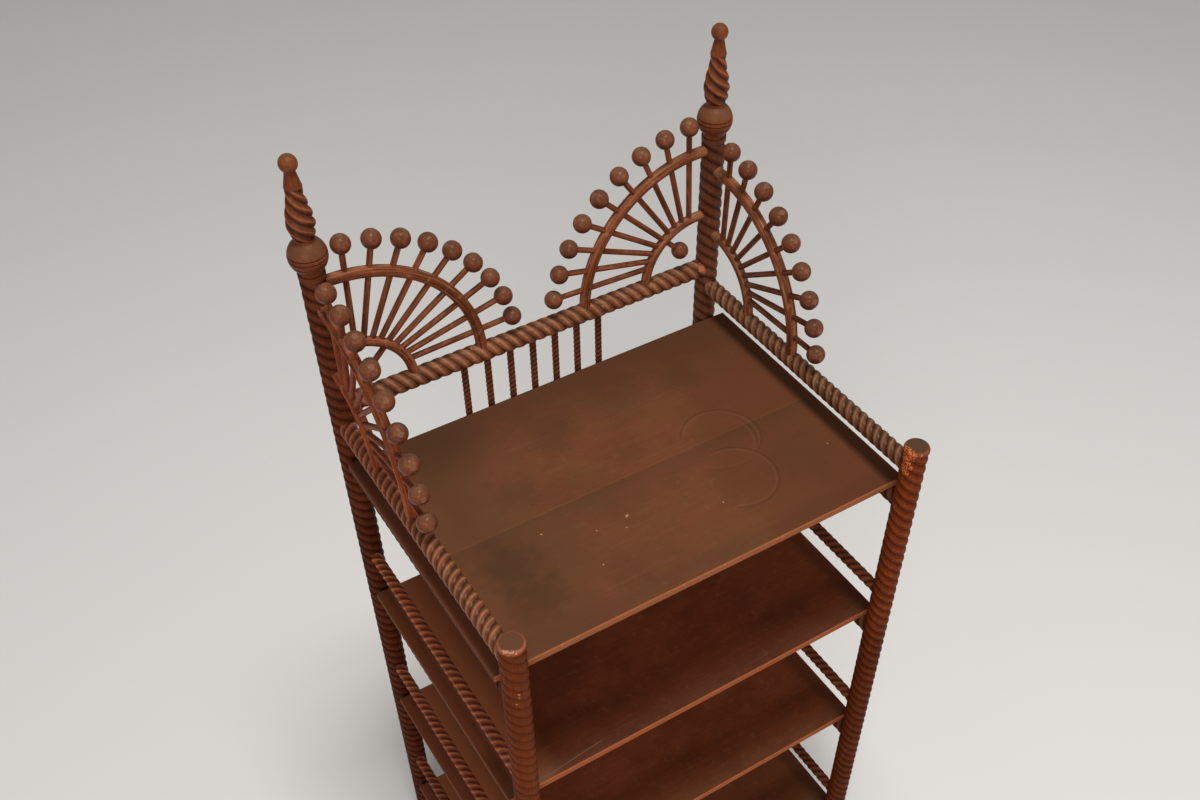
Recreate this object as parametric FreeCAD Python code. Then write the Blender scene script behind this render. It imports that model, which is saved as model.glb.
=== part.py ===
import FreeCAD, Part
import math
import os

# Four-tier etagere of rope-turned rods, with a gallery of quarter sunbursts on the top tier.
# Lengths are in millimetres. The origin is on the floor, midway between the four posts.
# X runs to the right, Y to the back and Z up.

# ---- Driving dimensions: frame ----
POST_SPACING_X = 381.0
POST_SPACING_Y = 304.8
TOP_SHELF_HEIGHT = 635.0
SHELF_PITCH = 177.8
SHELF_COUNT = 4

# ---- Posts ----
POST_DIA = 21.8
POST_GROOVE = 1.1
POST_STRANDS = 3
POST_LEAD = 33.75
POST_BAND_EXTRA = 0.15
POST_BAND_HEIGHT = 4.5
POST_RIM_RADIUS = 3.2
FOOT_HEIGHT = 30.0
FOOT_CHAMFER = 2.0
FRONT_POST_RISE = 54.5
REAR_POST_ABOVE_ARC = 13.2

# ---- Shelves ----
SHELF_THICKNESS = 7.0
SHELF_SIDE_OVERHANG = 9.9
SHELF_FRONT_SETBACK = 15.5
SHELF_BACK_SETBACK = 18.0
SHELF_EDGE_RADIUS = 1.2

# ---- Rails: height is that of the axis ----
BACK_RAIL_DIA = 18.2
BACK_RAIL_GROOVE = 1.1
BACK_RAIL_LEAD = 32.0
BACK_RAIL_RISE = 48.5
LOWER_RAIL_DROP = 35.0
SIDE_RAIL_DIA = 16.4
SIDE_RAIL_GROOVE = 1.2
SIDE_RAIL_LEAD = 28.0
SIDE_RAIL_RISE = 29.0
SUPPORT_RAIL_DIA = 16.0
SUPPORT_RAIL_GROOVE = 1.1
SUPPORT_RAIL_LEAD = 28.0
GUARD_RAIL_DIA = 11.0
GUARD_RAIL_GROOVE = 0.9
GUARD_RAIL_LEAD = 25.8
GUARD_RAIL_RISE = 40.0
RAIL_STRANDS = 3

# ---- Spindles of the back ----
SPINDLE_DIA = 6.7
SPINDLE_GROOVE = 0.6
SPINDLE_STRANDS = 2
SPINDLE_LEAD = 10.6
SPINDLE_PITCH = 23.4
SPINDLE_COUNT = 7
SPINDLE_ROW_SHIFT = -2.8
SPINDLE_SEAT = 4.0

# ---- Joints ----
JOINT_CLEARANCE = 0.05
BLIND_END_CLEARANCE = 0.2
RAIL_HOUSING = 4.0
TENON_DIA = 8.0
TENON_LENGTH = 6.0
GUARD_RAIL_SEAT = 7.0

# ---- Quarter sunbursts: a reach is from the post's surface, a rise from the rail's axis ----
FAN_REACH = 2.5
FAN_RISE = 3.4
OUTER_ARC_RADIUS = 123.4
OUTER_ARC_DIA = 10.2
INNER_ARC_RADIUS = 56.8
INNER_ARC_DIA = 9.0
ARC_POST_SEAT = 7.0
ARC_RAIL_SEAT = 6.5
SPOKE_COUNT = 9
SPOKE_DIA = 5.2
SPOKE_SEAT = 4.0
END_SPOKE_REACH = 12.5
END_SPOKE_RISE = 22.5
BALL_DIA = 16.9
BALLS_BEYOND_ARC = 36.6
BALL_RING_REACH = 1.3
BALL_RING_RISE = -4.1
END_BALL_REACH = 16.1
END_BALL_RISE = 26.9
PENDANT_DIA = 16.2
PENDANT_DROP = 25.0

# ---- Finials ----
FINIAL_BASE_DIA = 19.8
FINIAL_BASE_HEIGHT = 3.0
FINIAL_DOWEL_DIA = 8.0
FINIAL_DOWEL_LENGTH = 7.0
FINIAL_BALL_DIA = 31.8
FINIAL_RING_HEIGHTS = (2.5, -1.0, -6.0)
FINIAL_RING_WIDTH = 1.9
FINIAL_NECK_DIA = 16.3
FINIAL_NECK_HEIGHT = 2.7
SPIRE_BULGE_DIA = 22.8
SPIRE_BULGE_RISE = 12.1
SPIRE_SHOULDER_DIA = 18.4
SPIRE_SHOULDER_RISE = 27.0
SPIRE_TOP_DIA = 13.8
SPIRE_TOP_RISE = 43.8
SPIRE_GROOVE = 2.0
SPIRE_STRANDS = 4
SPIRE_LEAD = 39.7
TIP_NECK_DIA = 8.3
TIP_NECK_LENGTH = 13.0
TIP_DIA = 14.5

# ---- Brads ----
BRAD_SHANK_DIA = 1.6
BRAD_HEAD_DIA = 3.0
BRAD_HEAD_THICKNESS = 0.8
BRAD_LENGTH = 12.0
BRAD_FRONT_INSET = 85.5
BRAD_BACK_INSET = 14.5

# ---- Worked out from the above ----
RIGHT_HAND = 1
LEFT_HAND = -1
LEFT = -1
RIGHT = 1
FRONT = -1
BACK = 1
SIDES = {"left": LEFT, "right": RIGHT}
UP = FreeCAD.Vector(0, 0, 1)
POST_X = POST_SPACING_X / 2
POST_Y = POST_SPACING_Y / 2
POST_BAND_DIA = POST_DIA + 2 * POST_BAND_EXTRA
SHELF_TOPS = [TOP_SHELF_HEIGHT - SHELF_PITCH * tier for tier in range(SHELF_COUNT)]
BACK_RAIL_Z = TOP_SHELF_HEIGHT + BACK_RAIL_RISE
LOWER_RAIL_Z = TOP_SHELF_HEIGHT - LOWER_RAIL_DROP
SIDE_RAIL_Z = TOP_SHELF_HEIGHT + SIDE_RAIL_RISE
GUARD_RAIL_HEIGHTS = [top + GUARD_RAIL_RISE for top in SHELF_TOPS[1:]]
SUPPORT_RAIL_DROP = SHELF_THICKNESS + SUPPORT_RAIL_DIA / 2 + JOINT_CLEARANCE
SUPPORT_RAIL_HEIGHTS = [top - SUPPORT_RAIL_DROP for top in SHELF_TOPS]
FRONT_POST_TOP = TOP_SHELF_HEIGHT + FRONT_POST_RISE
REAR_POST_TOP = max(BACK_RAIL_Z, SIDE_RAIL_Z) + FAN_RISE + OUTER_ARC_RADIUS + REAR_POST_ABOVE_ARC
FINIAL_BALL_RISE = FINIAL_BASE_HEIGHT + math.sqrt(FINIAL_BALL_DIA**2 - FINIAL_BASE_DIA**2) / 2
SPINDLE_PLACES = [
    SPINDLE_ROW_SHIFT + SPINDLE_PITCH * (i - (SPINDLE_COUNT - 1) / 2) for i in range(SPINDLE_COUNT)
]
BALL_RING_RADIUS = OUTER_ARC_RADIUS + BALLS_BEYOND_ARC
SHELF_FRONT = -POST_Y + SHELF_FRONT_SETBACK
SHELF_BACK = POST_Y - SHELF_BACK_SETBACK
BRAD_PLACES = [SHELF_FRONT + BRAD_FRONT_INSET, SHELF_BACK - BRAD_BACK_INSET]


# ---- Helpers ----
def rod(diameter, start, direction, length):
    """Plain round rod, also used as a drill."""
    return Part.makeCylinder(diameter / 2, length, start, direction)


def socket(diameter, mouth, direction, depth):
    """Drill for a round piece: clear all round, and started outside the surface at the mouth."""
    lead_in = POST_DIA
    start = mouth - direction * lead_in
    return rod(diameter + 2 * JOINT_CLEARANCE, start, direction, lead_in + depth)


def rope(bottom, top, radius_at, depth_at, strands, lead, hand):
    """Rope-turned rod on the Z axis: rounded strands that wind round it, with sharp valleys."""
    across = [-1.0, -0.5, 0.0, 0.5, 1.0]
    rows_per_span = 12
    span_count = math.ceil((top - bottom) / lead)
    span = (top - bottom) / span_count

    def surface_point(strand, share, z):
        radius = radius_at(z) - depth_at(z) * share**2
        turn = 2 * math.pi * (strand / strands + hand * (z - bottom) / lead)
        angle = turn + share * math.pi / strands
        return FreeCAD.Vector(radius * math.cos(angle), radius * math.sin(angle), z)

    faces = []
    end_edges = {bottom: [], top: []}
    for strand in range(strands):
        for number in range(span_count):
            low = bottom + span * number
            heights = [low + span * row / rows_per_span for row in range(rows_per_span + 1)]
            surface = Part.BSplineSurface()
            surface.interpolate([[surface_point(strand, share, z) for z in heights] for share in across])
            face = surface.toShape()
            faces.append(face)
            for end, edges in end_edges.items():
                edges += [edge for edge in face.Edges if lies_at(edge, end)]
    for edges in end_edges.values():
        faces.append(Part.Face(Part.Wire(Part.__sortEdges__(edges))))
    shell = Part.makeShell(faces)
    shell.sewShape()
    return Part.makeSolid(shell.Shells[0])


def lies_at(edge, height):
    """Whether an edge lies in the level plane at this height."""
    tolerance = 1e-4
    box = edge.BoundBox
    return abs(box.ZMin - height) < tolerance and abs(box.ZMax - height) < tolerance


def straight_rope(bottom, top, diameter, groove, strands, lead, hand):
    """Rope-turned rod of one diameter."""
    return rope(bottom, top, lambda z: diameter / 2, lambda z: groove, strands, lead, hand)


def curve_through(points):
    """The smooth function through a few (place, value) points."""

    def value_at(place):
        total = 0.0
        for here, value in points:
            weight = 1.0
            for there, _ in points:
                if there != here:
                    weight *= (place - there) / (here - there)
            total += value * weight
        return total

    return value_at


def joined(pieces):
    """Pieces of one turned or bent part made into one solid."""
    solid = pieces[0].fuse(pieces[1:])
    return solid.removeSplitter()


def laid_along(direction, centre, shape):
    """Shape made on the Z axis, turned to lie along a direction and moved to its place."""
    placed = shape.copy()
    placed.Placement = FreeCAD.Placement(centre, FreeCAD.Rotation(UP, direction))
    return placed


def export(name, solids):
    """One STEP file per named piece, or per set of like pieces."""
    shape = solids[0] if len(solids) == 1 else Part.makeCompound(solids)
    shape.exportStep("parts/" + name + ".step")


# ---- Rails and spindles ----
RAIL_END = POST_DIA / 2 - RAIL_HOUSING


def housed_rail(post_spacing, diameter, groove, lead, hand):
    """Rail between two posts, on the Z axis: shoulders housed in the posts, and a tenon at each end."""
    half = post_spacing / 2 - RAIL_END
    body = straight_rope(-half, half, diameter, groove, RAIL_STRANDS, lead, hand)
    tenons = rod(TENON_DIA, UP * -(half + TENON_LENGTH), UP, 2 * (half + TENON_LENGTH))
    return joined([body, tenons])


def rail_sockets(axis_point, towards_rail, diameter):
    """Drills in a post for one housed rail: its shoulder's housing and its tenon's hole."""
    inward = towards_rail * -1
    shoulder = axis_point + towards_rail * RAIL_END
    return [
        socket(diameter, shoulder, inward, 0),
        socket(TENON_DIA, shoulder, inward, TENON_LENGTH + BLIND_END_CLEARANCE),
    ]


def back_rail():
    return housed_rail(POST_SPACING_X, BACK_RAIL_DIA, BACK_RAIL_GROOVE, BACK_RAIL_LEAD, RIGHT_HAND)


def side_rail():
    return housed_rail(POST_SPACING_Y, SIDE_RAIL_DIA, SIDE_RAIL_GROOVE, SIDE_RAIL_LEAD, RIGHT_HAND)


def support_rail():
    return housed_rail(
        POST_SPACING_Y, SUPPORT_RAIL_DIA, SUPPORT_RAIL_GROOVE, SUPPORT_RAIL_LEAD, RIGHT_HAND
    )


def guard_rail():
    """Thin rail that enters the posts at its full diameter."""
    half = POST_SPACING_Y / 2 - POST_DIA / 2 + GUARD_RAIL_SEAT
    return straight_rope(
        -half, half, GUARD_RAIL_DIA, GUARD_RAIL_GROOVE, RAIL_STRANDS, GUARD_RAIL_LEAD, LEFT_HAND
    )


def spindle_end(rail_z, towards_spindle):
    """Height at which a spindle ends inside a back rail."""
    return rail_z + towards_spindle * (BACK_RAIL_DIA / 2 - SPINDLE_SEAT)


def spindle():
    """Slender rope-turned bar between the two back rails, made on the Z axis."""
    bottom = spindle_end(LOWER_RAIL_Z, 1)
    top = spindle_end(BACK_RAIL_Z, -1)
    return straight_rope(
        bottom, top, SPINDLE_DIA, SPINDLE_GROOVE, SPINDLE_STRANDS, SPINDLE_LEAD, RIGHT_HAND
    )


def spindle_sockets(rail_z, towards_spindle):
    """Drills in a back rail for the row of spindles."""
    inward = UP * -towards_spindle
    mouth_z = spindle_end(rail_z, towards_spindle)
    return [
        socket(SPINDLE_DIA, FreeCAD.Vector(x, POST_Y, mouth_z), inward, BLIND_END_CLEARANCE)
        for x in SPINDLE_PLACES
    ]


# ---- Quarter sunbursts ----
class Fan:
    """Quarter sunburst in the corner between a rear post and a gallery rail."""

    def __init__(self, corner, along, rail_diameter):
        self.corner = corner
        self.along = along
        self.rail_radius = rail_diameter / 2
        self.normal = along.cross(UP)

    def at(self, reach, rise):
        """Point of the fan's plane, by its reach from the post and its rise above the rail's axis."""
        return self.corner + self.along * (POST_DIA / 2 + reach) + UP * rise

    def on_arc(self, radius, angle):
        """Point of an arc's centreline: the angle is counted from the rail up to the post."""
        return self.at(FAN_REACH + radius * math.cos(angle), FAN_RISE + radius * math.sin(angle))

    def on_ball_ring(self, angle):
        """Point of the circle on which the balls' centres lie, by the same kind of angle."""
        reach = BALL_RING_REACH + BALL_RING_RADIUS * math.cos(angle)
        return self.at(reach, BALL_RING_RISE + BALL_RING_RADIUS * math.sin(angle))

    def spoke_line(self, number):
        """Where a spoke meets the inner arc's centreline, its ball's centre, and its direction."""
        share = number / (SPOKE_COUNT - 1)
        inner_low = math.asin((END_SPOKE_RISE - FAN_RISE) / INNER_ARC_RADIUS)
        inner_high = math.acos((END_SPOKE_REACH - FAN_REACH) / INNER_ARC_RADIUS)
        ball_low = math.asin((END_BALL_RISE - BALL_RING_RISE) / BALL_RING_RADIUS)
        ball_high = math.acos((END_BALL_REACH - BALL_RING_REACH) / BALL_RING_RADIUS)
        inner = self.on_arc(INNER_ARC_RADIUS, inner_low + share * (inner_high - inner_low))
        ball = self.on_ball_ring(ball_low + share * (ball_high - ball_low))
        return inner, ball, (ball - inner).normalize()

    def has_pendant(self, number, with_pendant):
        return with_pendant and number == (SPOKE_COUNT - 1) // 2

    def pendant_line(self):
        """The pendant ball's centre, and the direction of the middle spoke, which it hangs on."""
        inner, _, outward = self.spoke_line((SPOKE_COUNT - 1) // 2)
        return inner - outward * PENDANT_DROP, outward

    def spoke_start(self, number, with_pendant):
        """Inner end of a spoke: blind in the inner arc, or flush with the pendant ball's far side."""
        if self.has_pendant(number, with_pendant):
            centre, outward = self.pendant_line()
            return centre - outward * flush_end(PENDANT_DIA)
        inner, _, outward = self.spoke_line(number)
        return inner + outward * (INNER_ARC_DIA / 2 - SPOKE_SEAT)

    def arc_end_at_post(self, radius):
        """End of an arc's bend on the post's side, and the way its straight leg goes on."""
        return self.on_arc(radius, math.pi / 2), self.along * -1

    def arc_end_at_rail(self, radius):
        """End of an arc's bend at the rail's surface, and the way its straight leg goes on."""
        angle = self.rail_angle(radius)
        return self.on_arc(radius, angle), self.along * math.sin(angle) - UP * math.cos(angle)

    def rail_angle(self, radius):
        return math.asin((self.rail_radius - FAN_RISE) / radius)

    def arc(self, radius, diameter):
        """Bent rod from the post over to the rail, with a straight leg let into each."""
        post_end, to_post = self.arc_end_at_post(radius)
        rail_end, to_rail = self.arc_end_at_rail(radius)
        section = Part.Face(Part.Wire(Part.makeCircle(diameter / 2, rail_end, to_rail)))
        turn = 90 - math.degrees(self.rail_angle(radius))
        bend = section.revolve(self.on_arc(0, 0), self.normal, turn)
        legs = [
            rod(diameter, post_end, to_post, FAN_REACH + ARC_POST_SEAT),
            rod(diameter, rail_end, to_rail, ARC_RAIL_SEAT),
        ]
        return joined([bend] + legs)

    def arc_socket_in_post(self, radius, diameter):
        mouth, to_post = self.arc_end_at_post(radius)
        return socket(diameter, mouth, to_post, FAN_REACH + ARC_POST_SEAT + BLIND_END_CLEARANCE)

    def arc_socket_in_rail(self, radius, diameter):
        mouth, to_rail = self.arc_end_at_rail(radius)
        return socket(diameter, mouth, to_rail, ARC_RAIL_SEAT + BLIND_END_CLEARANCE)

    def outer_arc(self):
        """Outer arc, bored right through for every spoke."""
        drills = []
        for number in range(SPOKE_COUNT):
            inner, ball, outward = self.spoke_line(number)
            drills.append(rod(SPOKE_DIA + 2 * JOINT_CLEARANCE, inner, outward, (ball - inner).Length))
        return self.arc(OUTER_ARC_RADIUS, OUTER_ARC_DIA).cut(drills)

    def inner_arc(self, with_pendant):
        """Inner arc, with a blind hole for every spoke and a through hole for a pendant's spoke."""
        drills = []
        for number in range(SPOKE_COUNT):
            inner, _, outward = self.spoke_line(number)
            start = self.spoke_start(number, with_pendant) - outward * BLIND_END_CLEARANCE
            length = (inner - start).dot(outward) + INNER_ARC_DIA
            drills.append(rod(SPOKE_DIA + 2 * JOINT_CLEARANCE, start, outward, length))
        return self.arc(INNER_ARC_RADIUS, INNER_ARC_DIA).cut(drills)

    def spokes(self, with_pendant):
        """The straight spokes, each from the inner arc through the outer arc and its ball."""
        solids = []
        for number in range(SPOKE_COUNT):
            _, ball, outward = self.spoke_line(number)
            start = self.spoke_start(number, with_pendant)
            end = ball + outward * flush_end(BALL_DIA)
            solids.append(rod(SPOKE_DIA, start, outward, (end - start).Length))
        return solids

    def balls(self):
        """The row of turned balls on the spokes' outer ends."""
        solids = []
        for number in range(SPOKE_COUNT):
            _, ball, outward = self.spoke_line(number)
            solids.append(bored_ball(BALL_DIA, ball, outward))
        return solids

    def pendant(self):
        """The ball that hangs inside the inner arc on the middle spoke."""
        centre, outward = self.pendant_line()
        return bored_ball(PENDANT_DIA, centre, outward)


def flush_end(ball_diameter):
    """How far from a ball's centre a spoke ends, to be flush with the ball's surface."""
    return math.sqrt(ball_diameter**2 - SPOKE_DIA**2) / 2


def bored_ball(diameter, centre, direction):
    """Ball bored right through for a spoke."""
    bore = rod(SPOKE_DIA + 2 * JOINT_CLEARANCE, UP * -diameter, UP, 2 * diameter)
    return laid_along(direction, centre, Part.makeSphere(diameter / 2).cut(bore))


# ---- Posts ----
def post(top, at_back):
    """Rope-turned post on the Z axis with a plain foot and a plain band at its top."""
    rope_top = top - POST_BAND_HEIGHT
    body = straight_rope(
        FOOT_HEIGHT, rope_top, POST_DIA, POST_GROOVE, POST_STRANDS, POST_LEAD, LEFT_HAND
    )
    foot = rod(POST_BAND_DIA, FreeCAD.Vector(0, 0, 0), UP, FOOT_HEIGHT)
    foot = foot.makeChamfer(FOOT_CHAMFER, [edge for edge in foot.Edges if lies_at(edge, 0)])
    band = rod(POST_BAND_DIA, UP * rope_top, UP, POST_BAND_HEIGHT)
    if not at_back:
        band = band.makeFillet(POST_RIM_RADIUS, [edge for edge in band.Edges if lies_at(edge, top)])
    return joined([foot, body, band])


def side_sockets(axis, towards_rails):
    """Drills in a post for every rail of its side of the etagere."""
    drills = rail_sockets(axis + UP * SIDE_RAIL_Z, towards_rails, SIDE_RAIL_DIA)
    for height in SUPPORT_RAIL_HEIGHTS:
        drills += rail_sockets(axis + UP * height, towards_rails, SUPPORT_RAIL_DIA)
    for height in GUARD_RAIL_HEIGHTS:
        mouth = axis + UP * height + towards_rails * (POST_DIA / 2)
        drills.append(socket(GUARD_RAIL_DIA, mouth, towards_rails * -1, GUARD_RAIL_SEAT))
    return drills


def front_post(side):
    axis = FreeCAD.Vector(side * POST_X, FRONT * POST_Y, 0)
    solid = laid_along(UP, axis, post(FRONT_POST_TOP, at_back=False))
    return solid.cut(side_sockets(axis, FreeCAD.Vector(0, 1, 0)))


def rear_post(side):
    axis = FreeCAD.Vector(side * POST_X, BACK * POST_Y, 0)
    inward = FreeCAD.Vector(-side, 0, 0)
    solid = laid_along(UP, axis, post(REAR_POST_TOP, at_back=True))
    drills = side_sockets(axis, FreeCAD.Vector(0, -1, 0))
    for height in (BACK_RAIL_Z, LOWER_RAIL_Z):
        drills += rail_sockets(axis + UP * height, inward, BACK_RAIL_DIA)
    for fan in (back_fan(side), side_fan(side)):
        drills.append(fan.arc_socket_in_post(OUTER_ARC_RADIUS, OUTER_ARC_DIA))
        drills.append(fan.arc_socket_in_post(INNER_ARC_RADIUS, INNER_ARC_DIA))
    dowel_depth = FINIAL_DOWEL_LENGTH + BLIND_END_CLEARANCE
    drills.append(socket(FINIAL_DOWEL_DIA, axis + UP * REAR_POST_TOP, UP * -1, dowel_depth))
    return solid.cut(drills)


# ---- Finial ----
def finial():
    """Turned finial on the Z axis from z = 0: ringed ball, rope-turned spire and tip ball."""
    ball_radius = FINIAL_BALL_DIA / 2
    ball_z = FINIAL_BALL_RISE
    neck_z = ball_z + math.sqrt(FINIAL_BALL_DIA**2 - FINIAL_NECK_DIA**2) / 2
    spire_z = neck_z + FINIAL_NECK_HEIGHT
    top_z = spire_z + SPIRE_TOP_RISE
    tip_neck_z = top_z + TIP_NECK_LENGTH
    tip_z = tip_neck_z + math.sqrt(TIP_DIA**2 - TIP_NECK_DIA**2) / 2

    ball = Part.makeSphere(ball_radius, UP * ball_z)
    base_cut = Part.makeBox(2 * FINIAL_BALL_DIA, 2 * FINIAL_BALL_DIA, FINIAL_BALL_DIA)
    base_cut.translate(FreeCAD.Vector(-FINIAL_BALL_DIA, -FINIAL_BALL_DIA, -FINIAL_BALL_DIA))
    rings = []
    for height in FINIAL_RING_HEIGHTS:
        ring_radius = math.sqrt(ball_radius**2 - height**2)
        rings.append(Part.makeTorus(ring_radius, FINIAL_RING_WIDTH / 2, UP * (ball_z + height)))
    ball = ball.cut(rings + [base_cut])

    radius_at = curve_through(
        [
            (spire_z, FINIAL_NECK_DIA / 2),
            (spire_z + SPIRE_BULGE_RISE, SPIRE_BULGE_DIA / 2),
            (spire_z + SPIRE_SHOULDER_RISE, SPIRE_SHOULDER_DIA / 2),
            (top_z, SPIRE_TOP_DIA / 2),
        ]
    )
    spire = rope(
        spire_z,
        top_z,
        radius_at,
        lambda z: SPIRE_GROOVE * radius_at(z) * 2 / SPIRE_BULGE_DIA,
        SPIRE_STRANDS,
        SPIRE_LEAD,
        LEFT_HAND,
    )
    neck_radius = FINIAL_NECK_DIA / 2 + POST_BAND_EXTRA
    top_radius = SPIRE_TOP_DIA / 2 + POST_BAND_EXTRA
    pieces = [
        ball,
        rod(FINIAL_DOWEL_DIA, UP * -FINIAL_DOWEL_LENGTH, UP, FINIAL_DOWEL_LENGTH + ball_z),
        rod(FINIAL_BASE_DIA, FreeCAD.Vector(0, 0, 0), UP, FINIAL_BASE_HEIGHT),
        rod(2 * neck_radius, UP * ball_z, UP, spire_z - ball_z),
        spire,
        Part.makeCone(top_radius, TIP_NECK_DIA / 2, TIP_NECK_LENGTH, UP * top_z),
        Part.makeSphere(TIP_DIA / 2, UP * tip_z),
    ]
    return joined(pieces)


# ---- Shelves and brads ----
def brad_points(shelf_top):
    """Top centres of the brads of one shelf."""
    return [
        FreeCAD.Vector(side * POST_X, y, shelf_top) for side in (LEFT, RIGHT) for y in BRAD_PLACES
    ]


def brad(point):
    head = rod(BRAD_HEAD_DIA, point, UP * -1, BRAD_HEAD_THICKNESS)
    shank = rod(BRAD_SHANK_DIA, point, UP * -1, BRAD_LENGTH)
    return joined([head, shank])


def brad_drills(point):
    """Hole for one brad: a sunk seat for its head, and its shank's hole."""
    clear = 2 * JOINT_CLEARANCE
    return [
        rod(BRAD_HEAD_DIA + clear, point, UP * -1, BRAD_HEAD_THICKNESS),
        rod(BRAD_SHANK_DIA + clear, point, UP * -1, BRAD_LENGTH + BLIND_END_CLEARANCE),
    ]


def shelf(shelf_top):
    """Thin board on the two support rails, with eased edges."""
    half_width = POST_X + SHELF_SIDE_OVERHANG
    corner = FreeCAD.Vector(-half_width, SHELF_FRONT, shelf_top - SHELF_THICKNESS)
    board = Part.makeBox(2 * half_width, SHELF_BACK - SHELF_FRONT, SHELF_THICKNESS, corner)
    board = board.makeFillet(SHELF_EDGE_RADIUS, board.Edges)
    drills = []
    for point in brad_points(shelf_top):
        drills += brad_drills(point)
    return board.cut(drills)


# ---- The four sunbursts ----
def back_fan(side):
    corner = FreeCAD.Vector(side * POST_X, POST_Y, BACK_RAIL_Z)
    return Fan(corner, FreeCAD.Vector(-side, 0, 0), BACK_RAIL_DIA)


def side_fan(side):
    corner = FreeCAD.Vector(side * POST_X, POST_Y, SIDE_RAIL_Z)
    return Fan(corner, FreeCAD.Vector(0, -1, 0), SIDE_RAIL_DIA)


def export_fan(prefix, fan, with_pendant):
    export(prefix + "_outer_arc", [fan.outer_arc()])
    export(prefix + "_inner_arc", [fan.inner_arc(with_pendant)])
    export(prefix + "_spokes", fan.spokes(with_pendant))
    export(prefix + "_balls", fan.balls())
    if with_pendant:
        export(prefix + "_pendant_ball", [fan.pendant()])


# ---- Assembly ----
def export_posts_and_finials():
    for name, side in SIDES.items():
        export("front_post_" + name, [front_post(side)])
        export("rear_post_" + name, [rear_post(side)])
        top = FreeCAD.Vector(side * POST_X, POST_Y, REAR_POST_TOP)
        export("finial_" + name, [laid_along(UP, top, finial())])


def export_back_rails():
    across = FreeCAD.Vector(1, 0, 0)
    upper = laid_along(across, FreeCAD.Vector(0, POST_Y, BACK_RAIL_Z), back_rail())
    drills = spindle_sockets(BACK_RAIL_Z, -1)
    for side in (LEFT, RIGHT):
        drills.append(back_fan(side).arc_socket_in_rail(OUTER_ARC_RADIUS, OUTER_ARC_DIA))
        drills.append(back_fan(side).arc_socket_in_rail(INNER_ARC_RADIUS, INNER_ARC_DIA))
    export("back_gallery_rail", [upper.cut(drills)])
    lower = laid_along(across, FreeCAD.Vector(0, POST_Y, LOWER_RAIL_Z), back_rail())
    export("back_lower_rail", [lower.cut(spindle_sockets(LOWER_RAIL_Z, 1))])
    for number, x in enumerate(SPINDLE_PLACES, start=1):
        bar = laid_along(UP, FreeCAD.Vector(x, POST_Y, 0), spindle())
        export("back_spindle_%d" % number, [bar])


def export_side_rails():
    along = FreeCAD.Vector(0, 1, 0)
    for name, side in SIDES.items():
        axis = FreeCAD.Vector(side * POST_X, 0, 0)
        fan = side_fan(side)
        rail = laid_along(along, axis + UP * SIDE_RAIL_Z, side_rail())
        drills = [
            fan.arc_socket_in_rail(OUTER_ARC_RADIUS, OUTER_ARC_DIA),
            fan.arc_socket_in_rail(INNER_ARC_RADIUS, INNER_ARC_DIA),
        ]
        export("side_gallery_rail_" + name, [rail.cut(drills)])
        for tier, height in enumerate(SUPPORT_RAIL_HEIGHTS, start=1):
            bearer = laid_along(along, axis + UP * height, support_rail())
            drills = []
            for point in brad_points(SHELF_TOPS[tier - 1]):
                if point.x * side > 0:
                    drills += brad_drills(point)
            export("shelf_%d_support_rail_%s" % (tier, name), [bearer.cut(drills)])
        for tier, height in enumerate(GUARD_RAIL_HEIGHTS, start=2):
            guard = laid_along(along, axis + UP * height, guard_rail())
            export("shelf_%d_guard_rail_%s" % (tier, name), [guard])


def export_shelves():
    for tier, top in enumerate(SHELF_TOPS, start=1):
        export("shelf_%d" % tier, [shelf(top)])
        export("shelf_%d_brads" % tier, [brad(point) for point in brad_points(top)])


def export_fans():
    for name, side in SIDES.items():
        export_fan("back_fan_" + name, back_fan(side), with_pendant=True)
        export_fan("side_fan_" + name, side_fan(side), with_pendant=False)


os.makedirs("parts", exist_ok=True)
export_posts_and_finials()
export_back_rails()
export_side_rails()
export_shelves()
export_fans()
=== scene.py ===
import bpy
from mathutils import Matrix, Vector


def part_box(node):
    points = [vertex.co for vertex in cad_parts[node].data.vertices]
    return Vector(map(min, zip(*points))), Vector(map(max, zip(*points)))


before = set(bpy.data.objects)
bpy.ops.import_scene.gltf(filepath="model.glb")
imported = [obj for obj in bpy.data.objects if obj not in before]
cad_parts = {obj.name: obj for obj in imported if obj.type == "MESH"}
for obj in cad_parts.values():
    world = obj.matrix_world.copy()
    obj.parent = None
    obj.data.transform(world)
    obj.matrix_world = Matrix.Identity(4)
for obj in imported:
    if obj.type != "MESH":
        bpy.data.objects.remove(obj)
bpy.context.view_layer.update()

import copy
import math

import bpy
from mathutils import Matrix, Vector

# Dresses the rope-turned etagere: stained and varnished wood, soft studio light, a pale floor.
# Lengths are in metres, in the frame of the CAD model.


# ---- Places of the object that the materials refer to ----
POST_X = sum(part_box("rear_post_right")[i].x for i in (0, 1)) / 2
POST_Y = sum(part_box("rear_post_right")[i].y for i in (0, 1)) / 2
POST_RADIUS = 0.0109
# How far a post's plain foot and top band stand out past its turning.
POST_BAND_EXTRA = 0.00015
# The eased rim at a front post's top: its height, and how far from the post's axis its painted highlight
# spots lie.
POST_RIM_HEIGHT = 0.0032
POST_RIM_REACH = 0.0097
SHELF_SIDE_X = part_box("shelf_1")[1].x
# Centre of a sunburst's arcs and of its ring of balls: how far from the post's axis, and above the rail's.
FAN_REACH = 0.0134
FAN_RISE = 0.0034
BALL_RING_REACH = 0.0122
BALL_RING_RISE = -0.0041
BALL_RING_RADIUS = 0.160
# Where a spoke's end grain shows: past the ring of the balls' centres, and inside the inner arc.
SPOKE_OUTER_END = (0.002, 0.004)
SPOKE_INNER_END = 0.0255
SPOKE_END_BLUR = 0.001
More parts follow.
